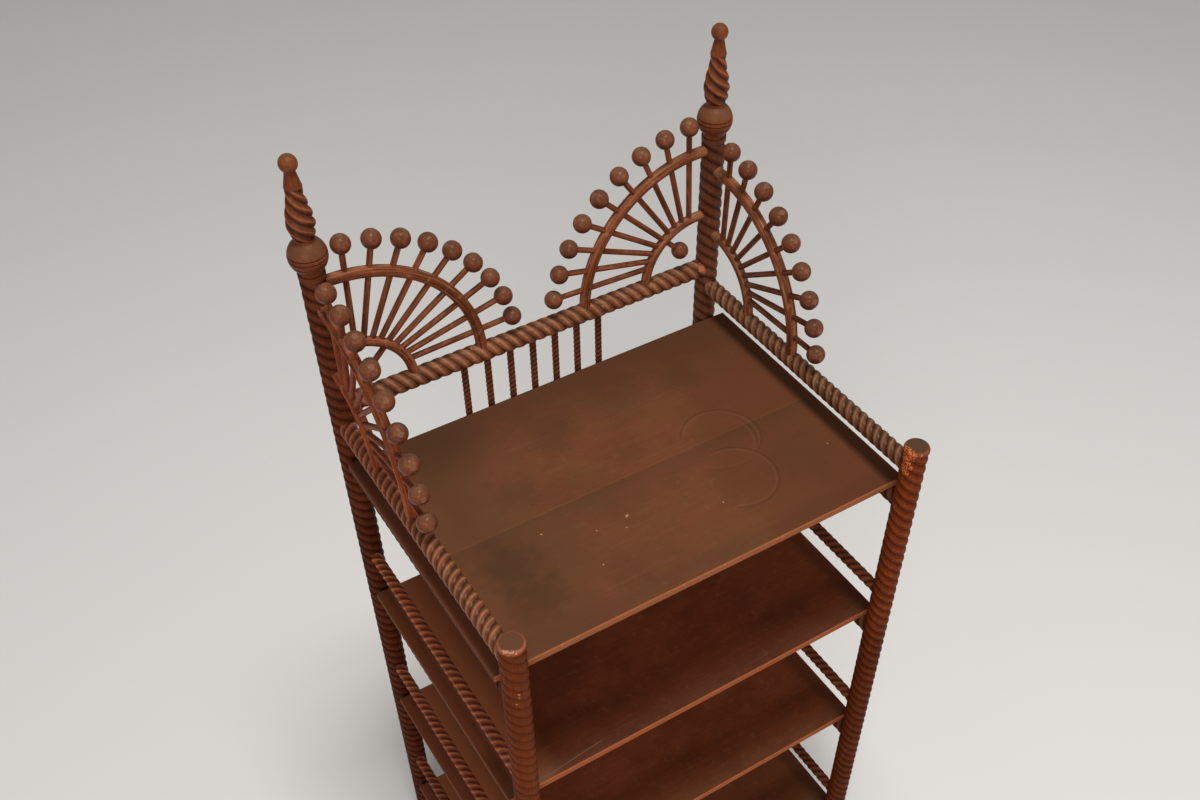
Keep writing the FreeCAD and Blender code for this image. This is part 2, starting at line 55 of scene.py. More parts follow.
# A finial's heights above its lowest point; those of its rings and of its dust with painted sheen are above
# its ball's middle.
FINIAL_BALL_MIDDLE = 0.02244
FINIAL_RINGS = (0.0025, -0.0010, -0.0060)
FINIAL_DUST_AND_SHEEN_LOW = 0.006
FINIAL_DUST_AND_SHEEN_HIGH = (0.016, 0.012)
SPIRE_BOTTOM = 0.03880
SPIRE_TOP = 0.08260
TIP_BALL_LOW = 0.0990
# The painted shade in a ring's groove: how far from the ring it comes in and is full, and its strength.
FINIAL_RING_LINE = (0.0009, 0.0002)
FINIAL_RING_STRENGTH = 0.65
# How softly the spire's two ends and the tip ball's low end begin.
SPIRE_LOW_BLUR = 0.0005
SPIRE_HIGH_BLUR = 0.0003
TIP_BALL_BLUR = 0.004
# The spire's turning: its rise in one full turn, and how many strands it has.
SPIRE_LEAD = 0.0397
SPIRE_STRANDS = 4


def centre_line(name):
    """Middle of a node's box, which a straight rod's centreline passes through."""
    lo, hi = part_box(name)
    return (lo + hi) / 2


def counted_from(start, limits):
    """Both limits of a range that are measured from a start."""
    return tuple(start + limit for limit in limits)


# ---- Camera ----
CAMERA_PLACE = Vector((-0.41699, -0.66384, 1.41208))
CAMERA_AZIMUTH = math.radians(-32.205)
CAMERA_ELEVATION = math.radians(46.818)
CAMERA_ROLL = math.radians(0.039)
SENSOR_WIDTH = 36.0
FOCAL_LENGTH = 38.04
CAMERA_SHIFT = (-0.0204, 0.0956)


# ---- Shader graph helper ----
class Graph:
    """A material's node tree, built up by short calls. Arguments are sockets or plain values."""

    def __init__(self, name):
        self.material = bpy.data.materials.new(name)
        self.material.use_nodes = True
        self.tree = self.material.node_tree
        self.tree.nodes.clear()
        self.point = self.add("ShaderNodeTexCoord").outputs["Object"]

    def add(self, kind, inputs=None, **settings):
        node = self.tree.nodes.new(kind)
        for name, value in settings.items():
            setattr(node, name, value)
        for key, value in (inputs or {}).items():
            self.feed(node.inputs[key], value)
        return node

    def feed(self, socket, value):
        if isinstance(value, bpy.types.NodeSocket):
            self.tree.links.new(value, socket)
        elif isinstance(value, (tuple, list)) and socket.type == "RGBA":
            socket.default_value = (*value[:3], 1.0)
        else:
            socket.default_value = value

    def math(self, operation, first, second=0.0, clamp=False):
        node = self.add("ShaderNodeMath", {0: first, 1: second}, operation=operation, use_clamp=clamp)
        return node.outputs[0]

    def times(self, *factors):
        product = factors[0]
        for factor in factors[1:]:
            product = self.math("MULTIPLY", product, factor)
        return product

    def plus(self, first, second):
        return self.math("ADD", first, second)

    def minus(self, first, second):
        return self.math("SUBTRACT", first, second)

    def absolute(self, value):
        return self.math("ABSOLUTE", value)

    def vector(self, operation, first, second=(0.0, 0.0, 0.0)):
        node = self.add("ShaderNodeVectorMath", {0: first, 1: second}, operation=operation)
        return node.outputs["Value" if operation in ("LENGTH", "DISTANCE", "DOT_PRODUCT") else "Vector"]

    def parts(self, vector):
        return self.add("ShaderNodeSeparateXYZ", {0: vector}).outputs

    def joined(self, x, y, z):
        return self.add("ShaderNodeCombineXYZ", {0: x, 1: y, 2: z}).outputs[0]

    def step(self, value, low, high):
        """0 where the value is at low, 1 where it is at high, smooth between; low may be above high."""
        node = self.add(
            "ShaderNodeMapRange",
            {"Value": value, "From Min": low, "From Max": high, "To Min": 0.0, "To Max": 1.0},
            interpolation_type="SMOOTHSTEP",
        )
        return node.outputs["Result"]

    def between(self, factor, low, high):
        """Runs from low to high as the factor runs from 0 to 1."""
        node = self.add(
            "ShaderNodeMapRange",
            {"Value": factor, "From Min": 0.0, "From Max": 1.0, "To Min": low, "To Max": high},
        )
        return node.outputs["Result"]

    def mix(self, factor, first, second):
        node = self.add("ShaderNodeMix", {0: factor, 6: first, 7: second}, data_type="RGBA")
        return node.outputs[2]

    def tinted(self, factor, colour, tone):
        """Multiplies a colour by a tone, as far as the factor says."""
        return self.mix(factor, colour, self.vector("MULTIPLY", colour, tone))

    def noise(self, vector, scale, detail=2.0, roughness=0.5):
        node = self.add(
            "ShaderNodeTexNoise",
            {"Vector": vector, "Scale": scale, "Detail": detail, "Roughness": roughness},
        )
        return node.outputs["Fac"]

    def bump(self, height, distance, strength, below=None):
        inputs = {"Height": height, "Distance": distance, "Strength": strength}
        if below is not None:
            inputs["Normal"] = below
        return self.add("ShaderNodeBump", inputs).outputs["Normal"]

    def finish(self, inputs, constants):
        """Adds the surface shader: inputs may be sockets, constants are set on it directly."""
        shader = self.add("ShaderNodeBsdfPrincipled", inputs)
        for name, value in constants.items():
            shader.inputs[name].default_value = value
        out = self.add("ShaderNodeOutputMaterial")
        self.tree.links.new(shader.outputs["BSDF"], out.inputs["Surface"])
        return self.material


def linear(value):
    """Linear value of an sRGB value from 0 to 255, by the sRGB curve and its straight foot up to 10."""
    return ((value / 255 + 0.055) / 1.055) ** 2.4 if value > 10 else value / 255 / 12.92


def shade(red, green, blue):
    return linear(red), linear(green), linear(blue)


# ---- Wood ----
class Stain:
    """Look of one family of pieces.

    Its shades are deep (in pores, and painted shade in valleys and underneath), body (the wood itself), worn
    (on rubbed places, and painted highlights on crests) and film (dust, and painted sheen on faces that look
    up).
    Then come how strongly the grain, the wear, the dust with its painted sheen, the painted shade of the
    valleys, the rubbed line with its painted highlight on the crests and the painted shade of the underside
    show, and the surface's gloss.
    """

    def __init__(self, deep, body, worn_and_highlit, dust_and_sheen, grain, wear, specular, dust_and_sheen_strength=0.8, valley_shade=0.8, line=0.3,
                 underside_shade=0.0, roughness=0.42):
        self.deep = shade(*deep)
        self.body = shade(*body)
        self.worn_and_highlit = shade(*worn_and_highlit)
        self.dust_and_sheen = shade(*dust_and_sheen)
        self.grain = grain
        self.wear = wear
        self.dust_and_sheen_strength = dust_and_sheen_strength
        self.valley_shade = valley_shade
        self.line = line
        self.underside_shade = underside_shade
        self.roughness = roughness
        self.specular = specular

    def toned(self, tone):
        """The same stain with the red, green and blue of its shades multiplied by a tone."""
        other = copy.copy(self)
        for part in ("deep", "body", "worn_and_highlit", "dust_and_sheen"):
            values = getattr(self, part)
            setattr(other, part, tuple(value * share for value, share in zip(values, tone)))
        return other


# Noise scales, in features to a metre. Streaks are that fine across the grain and stretched along it, and
# pores are finer still. The shifts, times a piece's seed, give each piece another part of a noise.
STREAKS_PER_METRE = 520.0
STREAK_STRETCH = 22.0
PORE_SQUEEZE = 2.6
BLOTCH_SCALE = 22.0
MOTTLE_SCALE = 150.0
DIRT_SCALE = 650.0
STREAK_SHIFT = (0.37, 0.61, 0.23)
PATCH_SHIFT = (0.71, 0.13, 0.47)
RIM_PATCH_SCALE = 300.0
END_GRAIN_SCALE = 1400.0
DUST_AND_SHEEN_CLOUD_SCALE = 90.0
# Ranges over which a shade comes in: of a noise, of how far a face looks up, of the height in the turning.
HOLLOWS = (0.6, 0.34)
STREAK_HILLS = (0.55, 0.72)
MOTTLE_HILLS = (0.52, 0.76)
PORE_HILLS = (0.64, 0.8)
FLECKS = (0.44, 0.56)
END_PORES = (0.45, 0.62)
LOOKING_UP = (0.2, 0.95)
LOOKING_DOWN = (0.25, -0.55)
IN_VALLEY = (0.85, 0.0)
ON_CREST = (0.84, 0.99)
# How a strength varies over a noise, from its lowest to its highest value.
DUST_AND_SHEEN_PATCHES = (0.5, 1.0)
RUBBED_AND_HIGHLIT_PATCHES = (0.1, 1.4)
DUST_AND_SHEEN_CLOUDS = (0.3, 0.9)
# Strengths that all families share; the second and the third are shares of the grain's.
BLOTCH_STRENGTH = 0.3
PALE_STREAK_SHARE = 0.7
PORE_SHARE = 0.6
# Stands for a plain surface, which is neither valley nor crest.
PLAIN_HEIGHT = 0.8
GRAIN_RELIEF = 0.00012
RELIEF_OF_STREAKS = 0.7
RELIEF_OF_PORES = 0.3
MOTTLE_RELIEF = 0.0004
MOTTLE_RELIEF_STRENGTH = 0.3
ROUGHNESS_RANGE = (-0.08, 0.12)
WOOD_IOR = 1.5
# Radius at which a sunburst's streaks have the size of a straight rod's.
FAN_MIDDLE_RADIUS = 0.1
# A worn spot's edge: how far it strays, and where the spot is full, in radii.
SPOT_STRAY = 2.6
SPOT_CORE = 0.7
SHEEN_TINT = (1.0, 0.76, 0.58, 1.0)
CHIP = shade(198, 108, 62)
PALE = shade(196, 142, 108)
# Painted highlight where arcs and a rail end at a post.
PALE_END_HIGHLIGHT = shade(150, 112, 86)
SPOKE_END = shade(122, 84, 62)
TIP_TONE = (1.10, 1.24, 1.26)
# Each front post's flat top has its own colour; its rim holds a painted highlight over rubbed wood.
CAPS = {"front_post_left": shade(96, 62, 45), "front_post_right": shade(76, 52, 38)}
RIM_HIGHLIGHTS = {"front_post_left": shade(168, 104, 78), "front_post_right": shade(128, 76, 52)}
# Measured from a front post's top: where the flat and the rim's painted highlight on rubbed wood come in;
# and how softly the turning's painted shade and highlight end below the rim.
CAP_FLAT = (-0.0004, -0.0001)
CAP_RUBBED_HIGHLIGHT = (-1.3 * POST_RIM_HEIGHT, -0.3 * POST_RIM_HEIGHT)
CAP_BLUR = 0.002


def shifted_point(graph, shift, seed):
    return graph.vector("ADD", graph.point, tuple(seed * share for share in shift))


def grain_point(graph, axis, seed):
    """Texture point squeezed across the grain, so that noise read from it runs in streaks along it."""
    across = STREAKS_PER_METRE
    along = STREAKS_PER_METRE / STREAK_STRETCH
    scale = tuple(along if name == axis else across for name in "XYZ")
    return graph.vector("MULTIPLY", shifted_point(graph, STREAK_SHIFT, seed), scale)


def polar_grain_point(graph, centre, plane_axis, seed, bent):
    """Texture point of a fan: streaks run round its arcs if bent, and out along its spokes if not."""
    offset = graph.vector("SUBTRACT", graph.point, tuple(centre))
    x, y, height = graph.parts(offset)
    flat, depth = (x, y) if plane_axis == "X" else (y, x)
    squares = graph.plus(graph.times(flat, flat), graph.times(height, height))
    radius = graph.math("SQRT", squares)
    angle = graph.math("ARCTAN2", height, graph.absolute(flat))
    arc_length = graph.times(angle, FAN_MIDDLE_RADIUS)
    across = STREAKS_PER_METRE
    along = STREAKS_PER_METRE / STREAK_STRETCH
    round_scale, out_scale = (along, across) if bent else (across, along)
    return graph.joined(
        graph.plus(graph.times(arc_length, round_scale), seed),
        graph.times(radius, out_scale),
        graph.times(depth, across),
    )


def spot_mask(graph, places, ragged):
    """1 inside any of the (x, y, z, radius) spots, with a ragged edge."""
    total = None
    for x, y, z, radius in places:
        distance = graph.vector("DISTANCE", graph.point, (x, y, z))
        shift = graph.times(graph.minus(ragged, 0.5), SPOT_STRAY * radius)
        inside = graph.step(graph.plus(distance, shift), radius, radius * SPOT_CORE)
        total = inside if total is None else graph.math("MAXIMUM", total, inside)
    return total


def wood(name, stain, grain, seed, crest=None, tint=None):
    """Stained, varnished wood.

    grain is the function that gives the streaks' texture point, crest the mask of what stands
    proud of the grooves, and tint adds a piece's own marks. Each mix lays one more shade over those
    before it.
    """
    graph = Graph(name)
    streak_point = grain(graph)
    local = shifted_point(graph, PATCH_SHIFT, seed)
    streaks = graph.noise(streak_point, 1.0, 4.0, 0.62)
    pores = graph.noise(graph.vector("MULTIPLY", streak_point, (PORE_SQUEEZE,) * 3), 1.0, 2.0, 0.5)
    blotches = graph.noise(local, BLOTCH_SCALE, 3.0, 0.55)
    mottle = graph.noise(local, MOTTLE_SCALE, 3.0, 0.6)
    dirt = graph.noise(local, DIRT_SCALE, 3.0, 0.6)

    upward = graph.parts(graph.add("ShaderNodeNewGeometry").outputs["Normal"])["Z"]
    # Dust, and painted sheen where faces look up toward the lamps.
    dust_and_sheen_share = graph.times(graph.step(upward, *LOOKING_UP), graph.between(blotches, *DUST_AND_SHEEN_PATCHES), stain.dust_and_sheen_strength)
    body = graph.mix(dust_and_sheen_share, stain.body, stain.dust_and_sheen)
    # Painted shade on faces that look down.
    if stain.underside_shade:
        body = graph.mix(graph.times(graph.step(upward, *LOOKING_DOWN), stain.underside_shade), body, stain.deep)
    body = graph.mix(graph.times(graph.step(blotches, *HOLLOWS), BLOTCH_STRENGTH), body, stain.deep)
    body = graph.mix(graph.times(graph.step(streaks, *HOLLOWS), stain.grain), body, stain.deep)
    pale_streaks = graph.times(graph.step(streaks, *STREAK_HILLS), stain.grain, PALE_STREAK_SHARE)
    body = graph.mix(pale_streaks, body, stain.worn_and_highlit)
    body = graph.mix(graph.times(graph.step(mottle, *MOTTLE_HILLS), stain.wear), body, stain.worn_and_highlit)
    body = graph.mix(graph.times(graph.step(pores, *PORE_HILLS), stain.grain, PORE_SHARE), body, stain.deep)
    if crest is not None:
        height = crest(graph)
        # Painted shade in the valleys of the turning.
        body = graph.mix(graph.times(graph.step(height, *IN_VALLEY), stain.valley_shade), body, stain.deep)
        # On the crests, a rubbed line with a painted highlight.
        patches = graph.between(mottle, *RUBBED_AND_HIGHLIT_PATCHES)
        rubbed_and_highlit = graph.times(graph.step(height, *ON_CREST), patches, stain.line)
        body = graph.mix(rubbed_and_highlit, body, stain.worn_and_highlit)
    if tint is not None:
        body = tint(graph, body, stain)
    if name in PAINTED_LIGHT_FADES:
        axis, start, end, start_tone, end_tone = PAINTED_LIGHT_FADES[name]
        share = graph.step(graph.parts(graph.point)[axis], start, end)
        body = graph.vector("MULTIPLY", body, graph.mix(share, start_tone, end_tone))
    for colour, strength, places in SPOTS.get(name, ()):
        mask = graph.times(spot_mask(graph, places, dirt), strength)
        flecked = graph.mix(graph.step(dirt, *FLECKS), colour, stain.body)
        body = graph.mix(mask, body, flecked)

    relief = graph.plus(graph.times(streaks, RELIEF_OF_STREAKS), graph.times(pores, RELIEF_OF_PORES))
    normal = graph.bump(relief, GRAIN_RELIEF, stain.grain)
    normal = graph.bump(mottle, MOTTLE_RELIEF, MOTTLE_RELIEF_STRENGTH, below=normal)
    roughness = graph.between(mottle, *counted_from(stain.roughness, ROUGHNESS_RANGE))
    return graph.finish(
        {"Base Color": body, "Roughness": roughness, "Normal": normal},
        {"Specular IOR Level": stain.specular, "Specular Tint": SHEEN_TINT, "IOR": WOOD_IOR},
    )


# ---- Masks of the rope turning ----
def crest_round_axis(axis, centre, radius, groove):
    """Mask of a straight rope-turned rod: 0 in its valleys, 1 on its crests."""

    def mask(graph):
        offset = graph.parts(graph.vector("SUBTRACT", graph.point, tuple(centre)))
        names = [name for name in "XYZ" if name != axis]
        squares = [graph.times(offset[name], offset[name]) for name in names]
        distance = graph.math("SQRT", graph.plus(squares[0], squares[1]))
        rise = graph.minus(distance, radius - groove)
        return graph.math("DIVIDE", rise, groove, clamp=True)

    return mask


# ---- Families of pieces ----
STAINS = {
    "front_post_left": Stain(
        (67, 27, 12), (108, 48, 20), (135, 73, 38), (118, 62, 34),
        grain=0.2, wear=0.25, valley_shade=0.3, line=0.12, specular=0.02,
    ),
    "front_post_right": Stain(
        (54, 18, 7), (106, 42, 16), (153, 79, 42), (118, 59, 32),
        grain=0.2, wear=0.25, valley_shade=0.55, line=0.35, specular=0.02,
    ),
    "rear_post_left": Stain(
        (40, 15, 7), (103, 45, 22), (132, 74, 47), (95, 57, 38),
        grain=0.25, wear=0.25, valley_shade=0.7, specular=0.02,
    ),
    "rear_post_right": Stain(
        (40, 20, 12), (102, 57, 38), (141, 86, 60), (100, 64, 46),
        grain=0.25, wear=0.25, valley_shade=0.7, specular=0.06,
    ),
    "back_rail": Stain(
        (53, 29, 17), (135, 74, 45), (190, 139, 106), (119, 76, 51),
        grain=0.3, wear=0.15, line=0.4, specular=0.16,
    ),
    "side_rail": Stain(
        (44, 25, 14), (117, 62, 37), (180, 124, 92), (111, 69, 46),
        grain=0.3, wear=0.12, line=0.5, roughness=0.36, specular=0.2,
    ),
    "support_rail": Stain(
        (36, 20, 13), (88, 46, 29), (120, 78, 54), (80, 54, 38),
        grain=0.3, wear=0.2, specular=0.015,
    ),
    "guard_rail_left": Stain(
        (53, 20, 11), (145, 63, 33), (197, 120, 84), (126, 63, 38),
        grain=0.2, wear=0.15, line=0.7, specular=0.12,
    ),
    # Painted shade: the right guard rails are darker than the left since they lie in shade.
    "guard_rail_right": Stain(
        (44, 21, 11), (117, 57, 33), (146, 86, 56), (100, 57, 35),
        grain=0.2, wear=0.15, line=0.4, specular=0.03,
    ),
    "spindle": Stain(
        (38, 19, 11), (115, 57, 34), (149, 89, 59), (96, 57, 38),
        grain=0.3, wear=0.15, specular=0.05,
    ),
    "outer_arc": Stain(
        (60, 30, 18), (138, 72, 42), (184, 122, 86), (144, 92, 64),
        grain=0.8, wear=0.4, specular=0.16,
    ),
    "inner_arc": Stain(
        (70, 36, 22), (148, 82, 50), (190, 132, 96), (152, 102, 74),
        grain=0.75, wear=0.4, specular=0.16,
    ),
    "left_outer_arc": Stain(
        (64, 28, 15), (147, 68, 36), (182, 110, 76), (136, 81, 55),
        grain=0.8, wear=0.35, specular=0.08,
    ),
    "left_inner_arc": Stain(
        (68, 29, 15), (157, 73, 39), (180, 113, 78), (138, 82, 55),
        grain=0.75, wear=0.35, specular=0.08,
    ),
    "spoke": Stain(
        (60, 31, 19), (133, 69, 41), (164, 102, 71), (115, 71, 52),
        grain=0.7, wear=0.3, specular=0.10,
    ),
    "ball": Stain(
        (40, 23, 16), (114, 60, 40), (168, 112, 82), (106, 71, 50),
        grain=0.2, wear=0.3, dust_and_sheen_strength=1.0, underside_shade=0.45, roughness=0.24, specular=0.10,
    ),
    "finial": Stain(
        (51, 24, 14), (114, 55, 30), (162, 99, 66), (99, 64, 43),
        grain=0.25, wear=0.25, dust_and_sheen_strength=0.6, valley_shade=0.65, line=0.6, underside_shade=0.1, specular=0.14,
    ),
    "top": Stain(
        (86, 50, 32), (110, 65, 43), (143, 96, 70), (106, 66, 45),
        grain=0.14, wear=0.14, dust_and_sheen_strength=0.5, roughness=0.32, specular=0.006,
    ),
    "shelf": Stain(
        (66, 24, 13), (106, 44, 24), (144, 80, 50), (106, 48, 29),
        grain=0.13, wear=0.15, dust_and_sheen_strength=0.5, roughness=0.32, specular=0.006,
    ),
}

# Painted light and shade: pieces painted lighter or darker than their family, as light falls otherwise on
# them: how much red, green and blue they hold.
PLAIN_TONE = (1.0, 1.0, 1.0)
PAINTED_LIGHT_TONES = {
    "back_fan_left_inner_arc": (1.10, 1.00, 1.00),
    "back_fan_right_balls": (1.10, 1.15, 1.12),
    "back_fan_right_inner_arc": (0.82, 0.82, 0.82),
    "finial_right": (1.10, 1.10, 1.10),
    "shelf_3": (1.15, 1.20, 1.10),
    "shelf_3_guard_rail_right": (1.10, 1.05, 1.00),
    "shelf_4": (1.00, 1.25, 1.20),
    "shelf_4_guard_rail_left": (0.80, 0.80, 0.80),
    "shelf_4_guard_rail_right": (0.82, 0.82, 0.85),
    "side_fan_left_spokes": (1.10, 0.80, 0.60),
    "side_fan_right_balls": (0.92, 0.95, 0.93),
    "side_fan_right_inner_arc": (0.75, 0.75, 0.75),
    "side_fan_right_outer_arc": (1.08, 1.08, 1.12),
    "side_fan_right_spokes": (0.78, 0.80, 0.80),
}

# Painted light and shade along some rods, lighter or darker from one end to the other: (axis, from, to, tone
# at the start, tone at the end).
PAINTED_LIGHT_FADES = {
    "front_post_right": ("Z", 0.40, 0.53, (0.72, 0.77, 0.70), (1.21, 1.36, 1.45)),
    "rear_post_left": ("Z", 0.45, 0.75, (0.70, 0.71, 0.72), (0.97, 1.09, 1.20)),
    "rear_post_right": ("Z", 0.63, 0.80, (1.25, 1.18, 1.08), (0.88, 0.88, 0.88)),
    "side_gallery_rail_right": ("Y", -0.06, 0.03, (0.80, 0.90, 0.90), (1.02, 1.17, 1.22)),
    "side_gallery_rail_left": ("Y", -0.06, 0.06, (1.10, 1.05, 1.05), (1.20, 0.93, 0.85)),
    "shelf_2_guard_rail_left": ("Y", -0.12, 0.12, (0.90, 0.95, 0.98), (1.20, 1.14, 1.02)),
}


def stain_of(name, family):
    """The stain of one piece: its family's, with the piece's own tone of painted light and shade."""
    return STAINS[family].toned(PAINTED_LIGHT_TONES.get(name, PLAIN_TONE))


def round_post(side, reach, *places):
    """Spots round a front post at the given reach: (turn in degrees, mm below its top, radius in mm)."""
    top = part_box("front_post_right")[1].z
    spots = []
    for turn, below, radius in places:
        heading = math.radians(turn)
        x = side * POST_X + reach * math.cos(heading)
        y = -POST_Y + reach * math.sin(heading)
        spots.append((x, y, top - 0.001 * below, 0.001 * radius))
    return spots


# Worn and chipped spots of single pieces, and painted highlights where some pieces end at a post and on a
# post's rim: (colour, strength, ((x, y, z, radius), ...)).
SPOTS = {
    "front_post_right": (
        (CHIP, 1.0, round_post(
            1, POST_RADIUS, (160, 1, 3.5), (180, 1, 4), (200, 1.5, 4), (205, 2.5, 3.5), (195, 5, 4),
            (170, 6, 4), (205, 7, 3.5), (190, 12, 4), (170, 12, 3.5), (205, 16, 3), (185, 17, 4),
            (175, 23, 3), (190, 24, 3.5),
        )),
        (PALE, 0.8, round_post(1, POST_RADIUS, (231, 1, 1.5), (247, 1, 1.5))),
    ),
    "front_post_left": (
        # Painted highlight along the rim of the post's top.
        (PALE, 0.7, round_post(
            -1, POST_RIM_REACH, (214, 0.5, 2), (227, 0.5, 2), (243, 0.5, 2.2), (260, 0.5, 2),
        )),
        (PALE, 0.7, round_post(-1, POST_RADIUS, (256, 51, 1), (255, 54, 1), (243, 62, 1))),
    ),
    "back_gallery_rail": (
        (CHIP, 0.9, ((0.1820, 0.1455, 0.6900, 0.0046), (0.1785, 0.1448, 0.6880, 0.0026))),
        (PALE, 0.8, (
            (0.1790, 0.1470, 0.6925, 0.0013), (-0.0640, 0.1515, 0.6926, 0.0014),
            (0.0690, 0.1450, 0.6885, 0.0010), (-0.0970, 0.1440, 0.6810, 0.0008),
            (-0.1075, 0.1450, 0.6780, 0.0009),
        )),
    ),
    "side_gallery_rail_right": (
        (PALE_END_HIGHLIGHT, 0.7, ((0.1885, 0.1390, 0.6710, 0.0042), (0.1870, 0.1330, 0.6710, 0.0020))),
    ),
    "side_fan_right_inner_arc": (
        (PALE_END_HIGHLIGHT, 0.6, ((0.1890, 0.1390, 0.7260, 0.0070),)),
        (CHIP, 0.9, ((0.1862, 0.0815, 0.6730, 0.0013),)),
    ),
    "side_fan_right_outer_arc": ((PALE_END_HIGHLIGHT, 0.6, ((0.1890, 0.1390, 0.7925, 0.0075),)),),
    "back_fan_right_outer_arc": ((PALE_END_HIGHLIGHT, 0.45, ((0.1765, 0.1510, 0.8125, 0.0080),)),),
    "back_fan_right_inner_arc": ((PALE_END_HIGHLIGHT, 0.5, ((0.1760, 0.1510, 0.7455, 0.0080),)),),
    "side_fan_left_outer_arc": ((PALE_END_HIGHLIGHT, 0.4, ((-0.1905, 0.1390, 0.7925, 0.0060),)),),
}


def cap_tint(name):
    """Marks of a front post's top: the flat has its own shade, and its round rim is rubbed paler and holds a
    painted highlight.
    """
    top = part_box(name)[1].z
    rim_low = top - POST_RIM_HEIGHT

    def tint(graph, body, look):
        height = graph.parts(graph.point)["Z"]
        ragged = graph.noise(graph.point, RIM_PATCH_SCALE, 3.0, 0.6)
        plain = graph.step(height, rim_low - CAP_BLUR, rim_low)
        rubbed_and_highlit = graph.times(graph.step(height, *counted_from(top, CAP_RUBBED_HIGHLIGHT)), ragged)
        body = graph.mix(plain, body, look.body)
        body = graph.mix(rubbed_and_highlit, body, RIM_HIGHLIGHTS[name])
        return graph.mix(graph.step(height, *counted_from(top, CAP_FLAT)), body, CAPS[name])

    return tint


def straight_rod(name, family, axis, groove, seed, extra=0.0):
    """A rope-turned rod; extra is by how much its box stands out past the turning."""
    lo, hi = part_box(name)
    widths = [getattr(hi - lo, letter.lower()) for letter in "XYZ" if letter != axis]
    crest = crest_round_axis(axis, centre_line(name), min(widths) / 2 - extra, groove)
    grain = lambda graph: grain_point(graph, axis, seed)
    tint = cap_tint(name) if name in CAPS else None
    return wood(name, stain_of(name, family), grain, seed, crest=crest, tint=tint)


def fan_centre(name, reach=FAN_REACH, rise=FAN_RISE):
    """Centre of a fan's arcs, or of the ring of its balls, and the axis that its plane runs along."""
    side = 1 if "_right" in name else -1
    if name.startswith("back_fan"):
        rail_z = centre_line("back_gallery_rail").z
        return Vector((side * (POST_X - reach), POST_Y, rail_z + rise)), "X"
    rail_z = centre_line("side_gallery_rail_right").z
    return Vector((side * POST_X, POST_Y - reach, rail_z + rise)), "Y"


def fan_grain(name, seed, bent):
    """Streaks along a sunburst's arcs if bent, and along its spokes if not."""
    centre, axis = fan_centre(name)
    return lambda graph: polar_grain_point(graph, centre, axis, seed, bent)


def spoke_end_tint(name):
    """A spoke's ends lie flush in its balls and show there as small round end-grain spots."""
    arcs, _ = fan_centre(name)
    ring, _ = fan_centre(name, BALL_RING_REACH, BALL_RING_RISE)

    def tint(graph, body, look):
        outward = graph.vector("DISTANCE", graph.point, tuple(ring))
        outer = graph.step(outward, *counted_from(BALL_RING_RADIUS, SPOKE_OUTER_END))
        inward = graph.vector("DISTANCE", graph.point, tuple(arcs))
        inner = graph.step(inward, SPOKE_INNER_END + SPOKE_END_BLUR, SPOKE_INNER_END)
        pores = graph.noise(graph.point, END_GRAIN_SCALE, 2.0, 0.6)
        end_grain = graph.mix(graph.step(pores, *END_PORES), SPOKE_END, STAINS["ball"].body)
        return graph.mix(graph.math("MAXIMUM", outer, inner), body, end_grain)

    return tint


# ---- Finials ----
def spire_crest(name):
    """Mask of a finial's spire: 0 in the valleys of its turning, 1 on the crests; plain elsewhere."""
    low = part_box(name)[0].z
    axis = centre_line(name)

    def mask(graph):
        x, y, z = graph.parts(graph.vector("SUBTRACT", graph.point, (axis.x, axis.y, low + SPIRE_BOTTOM)))
        turn = graph.times(z, 2 * math.pi / SPIRE_LEAD)
        phase = graph.times(graph.plus(graph.math("ARCTAN2", y, x), turn), float(SPIRE_STRANDS))
        crest = graph.times(graph.plus(graph.math("COSINE", phase), 1.0), 0.5)
        height = SPIRE_TOP - SPIRE_BOTTOM
        above = graph.step(z, -SPIRE_LOW_BLUR, SPIRE_LOW_BLUR)
        inside = graph.times(above, graph.step(z, height + SPIRE_HIGH_BLUR, height - SPIRE_HIGH_BLUR))
        return graph.between(inside, PLAIN_HEIGHT, crest)

    return mask


def finial_tint(name):
    """Dust and painted sheen on the ball's upper half, painted shade in its turned rings, and a paler ball
    at the tip.
    """
    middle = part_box(name)[0].z + FINIAL_BALL_MIDDLE

    def tint(graph, body, look):
        height = graph.minus(graph.parts(graph.point)["Z"], middle)
        cloud = graph.noise(graph.point, DUST_AND_SHEEN_CLOUD_SCALE, 3.0, 0.5)
        above_rings = graph.step(height, FINIAL_RINGS[0], FINIAL_DUST_AND_SHEEN_LOW)
        upper_dust_and_sheen = graph.times(above_rings, graph.step(height, *FINIAL_DUST_AND_SHEEN_HIGH))
        body = graph.mix(graph.times(upper_dust_and_sheen, graph.between(cloud, *DUST_AND_SHEEN_CLOUDS)), body, look.dust_and_sheen)
        for ring in FINIAL_RINGS:
            line = graph.step(graph.absolute(graph.minus(height, ring)), *FINIAL_RING_LINE)
            body = graph.mix(graph.times(line, FINIAL_RING_STRENGTH), body, look.deep)
        tip_low = TIP_BALL_LOW - FINIAL_BALL_MIDDLE
        tip = graph.step(height, tip_low - TIP_BALL_BLUR, tip_low)
        return graph.tinted(tip, body, TIP_TONE)

    return tint


# ---- Shelves ----
EDGE_WIDTH = 0.0013
# The dark of the cup rings, and the painted shade under the side rails along a shelf's sides.
DARK_STAIN_AND_SHADE = shade(50, 32, 23)
CRUMB = shade(184, 138, 102)
SIDE_EDGE = shade(108, 60, 37)
TOP_EDGE = shade(160, 95, 62)
LOWER_EDGE = shade(168, 92, 56)
TOP_LEFT = shade(94, 62, 41)
TOP_RIGHT = shade(96, 57, 36)
TOP_RED = shade(112, 62, 44)
TOP_OLIVE = shade(100, 70, 40)
# Darker colour for the top's clouds and for the band in front of the board joint.
TOP_DARK = shade(70, 50, 34)
